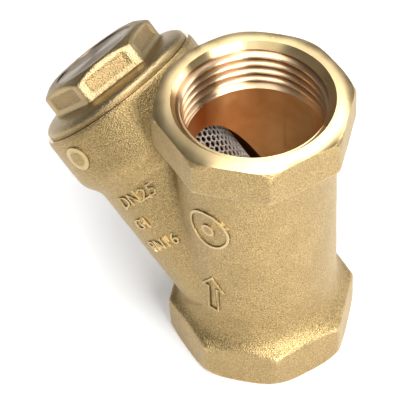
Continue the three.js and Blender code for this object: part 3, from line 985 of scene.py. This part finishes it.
def band(low, steps):
    """The plain sheet at one end of a column, from a height up."""
    deselect_all()
    bpy.ops.mesh.primitive_grid_add(x_subdivisions=2, y_subdivisions=steps, size=1)
    middle_z = Matrix.Translation((0, 0, (low + steps * quarter / 2) * MM))
    spread = Matrix.Diagonal((column_width * MM, steps * quarter * MM, 1, 1))
    return place(bpy.context.object, middle_z @ Matrix.Rotation(pi / 2, 4, "X") @ spread)


def join(pieces):
    deselect_all()
    for piece in pieces:
        piece.select_set(True)
    bpy.context.view_layer.objects.active = pieces[0]
    bpy.ops.object.join()
    return pieces[0]


def column(side, foot_steps, head_steps):
    cell = punched_cell()
    apply_modifier(cell, "ARRAY", count=rows, use_relative_offset=False, use_constant_offset=True,
                   constant_offset_displace=(0, 0, 4 * quarter * MM))
    foot_z = SCREEN_LOW + foot_steps * quarter
    place(cell, Matrix.Translation((0, 0, (foot_z + 2 * quarter) * MM)))
    foot = band(SCREEN_LOW, foot_steps)
    head = band(foot_z + 4 * rows * quarter, head_steps)
    whole = join([cell, foot, head])
    return place(whole, Matrix.Translation((side * column_width / 2 * MM, 0, 0)))


sheet = join([column(-1, BAND_STEPS, BAND_STEPS + 2), column(1, BAND_STEPS + 2, BAND_STEPS)])
sheet.name = "strainer_screen"
apply_modifier(sheet, "ARRAY", count=column_pairs, use_relative_offset=False, use_constant_offset=True,
               constant_offset_displace=(2 * column_width * MM, 0, 0))
edit(sheet)
weld(0.01)
object_mode()

# %% Roll the sheet into a sleeve
for vertex in sheet.data.vertices:
    around = vertex.co.x / (sleeve_r * MM)
    vertex.co.x = sleeve_r * MM * cos(around)
    vertex.co.y = sleeve_r * MM * sin(around)
edit(sheet)
weld(0.02)
object_mode()
apply_modifier(sheet, "SOLIDIFY", thickness=SHEET * MM, offset=0, use_even_offset=True)
place(coat(sheet, STEEL), on_branch)
finish_mesh(sheet)
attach(sheet, "carrier")
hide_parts("screen")

# %% [markdown]
# ## Light, floor and camera
# Brass shows its shape by what it reflects, so each lamp is placed for a reflection. The key stands at
# the front right and models the casting. The top lamp lights the bore, the one high at the back shows in
# the flat turned faces, and the rim lamp, behind at the right, picks out the far edges. A weak one at the
# front left keeps the marks readable. All of them are large and soft, and the pale floor glows a little,
# to fill the shadows from below.

# %% Lay the floor
FLOOR_WIDE = 4  # in metres
deselect_all()
bpy.ops.mesh.primitive_plane_add(size=FLOOR_WIDE)
floor = bpy.context.object
floor.name = "floor"
floor_paint = bpy.data.materials.new("floor_paint")
floor_paint.use_nodes = True
floor_shader = floor_paint.node_tree.nodes["Principled BSDF"]
floor_shader.inputs["Base Color"].default_value = (0.8, 0.8, 0.8, 1)
floor_shader.inputs["Roughness"].default_value = 0.9
floor_shader.inputs["Specular IOR Level"].default_value = 0.1
floor_shader.inputs["Emission Color"].default_value = (1, 1, 1, 1)
floor_shader.inputs["Emission Strength"].default_value = 0.22
coat(floor, floor_paint)
print(f"The floor is {FLOOR_WIDE} m wide")

# %% Set the world and the lamps
scene = bpy.context.scene
world = bpy.data.worlds.new("studio")
world.use_nodes = True
world.node_tree.nodes["Background"].inputs["Color"].default_value = (1.0, 0.99, 0.97, 1)
world.node_tree.nodes["Background"].inputs["Strength"].default_value = 0.12
scene.world = world
scene.view_settings.view_transform = "Standard"


def soft_light(name, place_mm, aim_mm, size_mm, watts):
    """A square area lamp at one point that faces another."""
    deselect_all()
    bpy.ops.object.light_add(type="AREA", location=Vector(place_mm) * MM)
    lamp = bpy.context.object
    lamp.name = name
    lamp.data.size = size_mm * MM
    lamp.data.energy = watts
    beam = Vector(aim_mm) - Vector(place_mm)
    lamp.rotation_euler = beam.to_track_quat("-Z", "Y").to_euler()
    print(f"The {name} lamp stands {beam.length:.0f} mm away")


middle = (0, 0, 40)
soft_light("key", (360, -120, 240), middle, 240, 2.5)
soft_light("front", (100, -420, 220), middle, 200, 0.15)
soft_light("top", (50, -85, 430), middle, 240, 1.1)
soft_light("back", (-45, 205, 418), middle, 220, 0.8)
soft_light("rim", (220, 330, 230), middle, 200, 0.6)

# %% Set the camera
CAMERA_TURN = 40.2
CAMERA_RISE = 48.5
CAMERA_ROLL = -4.4
CAMERA_DISTANCE = 403.3
CAMERA_LENS = 163.7
aim = Vector((RUN_X - 9.75, -8.23, 42.77)) * MM
turned = Matrix.Rotation(radians(CAMERA_TURN), 4, "Z") @ Matrix.Rotation(radians(90 - CAMERA_RISE), 4, "X")
turned = turned @ Matrix.Rotation(radians(CAMERA_ROLL), 4, "Z")
back = turned @ Vector((0, 0, CAMERA_DISTANCE * MM))
deselect_all()
bpy.ops.object.camera_add()
camera = bpy.context.object
camera.name = "camera"
camera.matrix_world = Matrix.Translation(aim + back) @ turned
camera.data.lens = CAMERA_LENS
camera.data.sensor_width = 36
scene.camera = camera
print(f"The camera stands {CAMERA_DISTANCE:.0f} mm from what it looks at")
